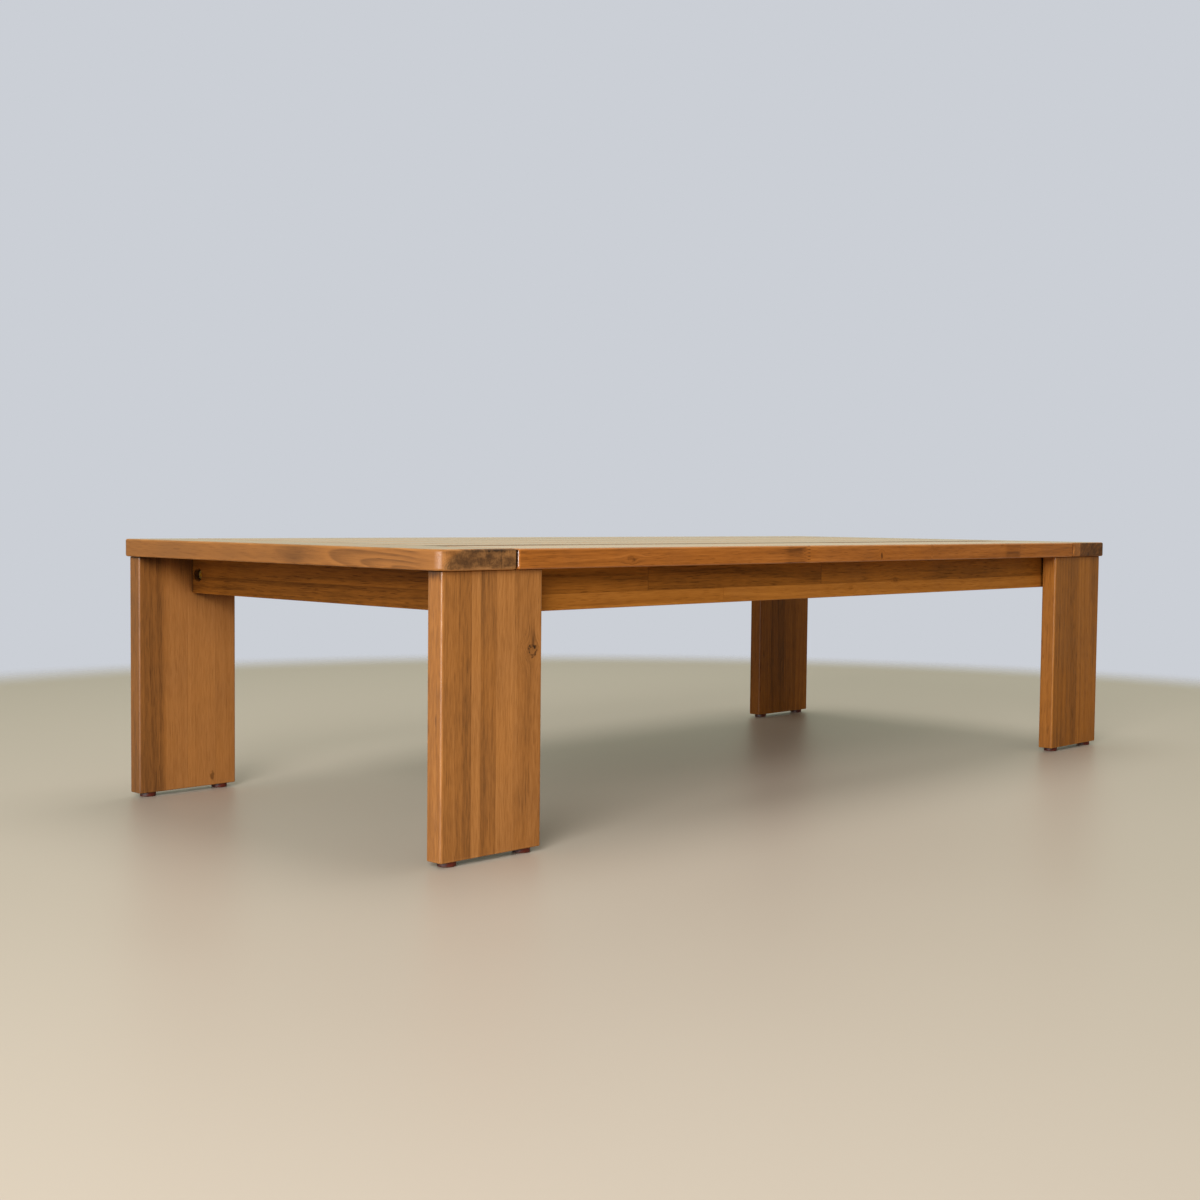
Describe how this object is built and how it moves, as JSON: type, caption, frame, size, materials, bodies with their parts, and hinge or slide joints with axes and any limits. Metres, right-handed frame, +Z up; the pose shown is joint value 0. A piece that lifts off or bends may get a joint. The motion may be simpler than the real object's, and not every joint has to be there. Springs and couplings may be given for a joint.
{
  "type": "outdoor coffee table",
  "caption": "Low rectangular outdoor coffee table: slatted hardwood top between end boards, carried by flat slab legs and slim aprons, standing on small glides.",
  "frame": {"origin": "on the floor, under the middle of the top", "axes": "+X along the table's long side, +Y across it towards the back, +Z up"},
  "size_m": [1.4, 0.614, 0.326],
  "materials": {
    "top_wood": "satin oil, orange-brown, darker end grain",
    "leg_wood": "satin oil, edge-glued strips of slightly different browns",
    "frame_wood": "satin oil, finger-jointed strips",
    "dowel_wood": "bare pale hardwood",
    "bolt_brass": "yellow plated, dulled",
    "screw_steel": "plain zinc",
    "nail_steel": "plain bright wire",
    "glide_plastic": "moulded dark brown"
  },
  "bodies": {
    "root": {"apron_bolts": "bolt_brass", "barrel_nuts": "bolt_brass", "batten_dowels": "dowel_wood", "batten_left": "frame_wood", "batten_middle": "frame_wood", "batten_right": "frame_wood", "batten_screws": "screw_steel", "bolt_washers": "bolt_brass", "corner_dowels": "dowel_wood", "end_board_left": "top_wood", "end_board_right": "top_wood", "glide_back_left_inner": "glide_plastic", "glide_back_left_outer": "glide_plastic", "glide_back_right_inner": "glide_plastic", "glide_back_right_outer": "glide_plastic", "glide_front_left_inner": "glide_plastic", "glide_front_left_outer": "glide_plastic", "glide_front_right_inner": "glide_plastic", "glide_front_right_outer": "glide_plastic", "glide_nails": "nail_steel", "leg_back_left": "leg_wood", "leg_back_right": "leg_wood", "leg_front_left": "leg_wood", "leg_front_right": "leg_wood", "long_apron_back": "frame_wood", "long_apron_front": "frame_wood", "long_apron_screws": "screw_steel", "short_apron_left": "frame_wood", "short_apron_right": "frame_wood", "short_apron_screws": "screw_steel", "slat_back_inner": "top_wood", "slat_back_outer": "top_wood", "slat_dowels_left": "dowel_wood", "slat_dowels_right": "dowel_wood", "slat_front_inner": "top_wood", "slat_front_outer": "top_wood", "slat_middle": "top_wood"}
  },
  "joints": []
}
